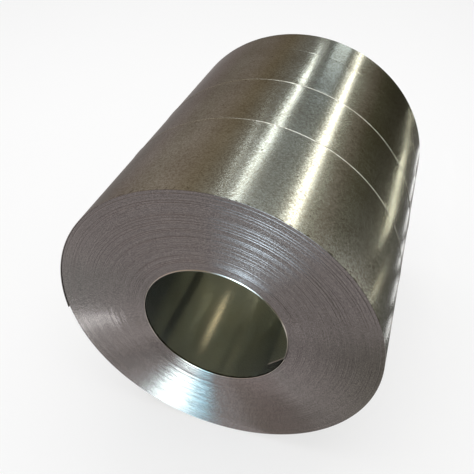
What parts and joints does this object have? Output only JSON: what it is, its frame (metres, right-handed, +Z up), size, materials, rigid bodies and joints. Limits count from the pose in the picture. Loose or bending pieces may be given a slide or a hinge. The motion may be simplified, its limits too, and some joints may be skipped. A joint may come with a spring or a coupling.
{
  "type": "steel coil",
  "caption": "Wide coil of galvanised steel strip lying on its side, with a round eye through it and both strip ends slightly sprung.",
  "frame": {"origin": "on the floor under the coil's axis, at the middle of the strip's width", "axes": "+Y along the coil's axis, away from the end whose eye is set back; +Z up; +X to the right seen from that end"},
  "size_m": [1.1396, 1.2365, 1.1314],
  "materials": {
    "rolled_steel": "galvanised, dull with fine zinc crystals; bare slit edges"
  },
  "bodies": {
    "root": {"coil": "rolled_steel"}
  },
  "joints": []
}
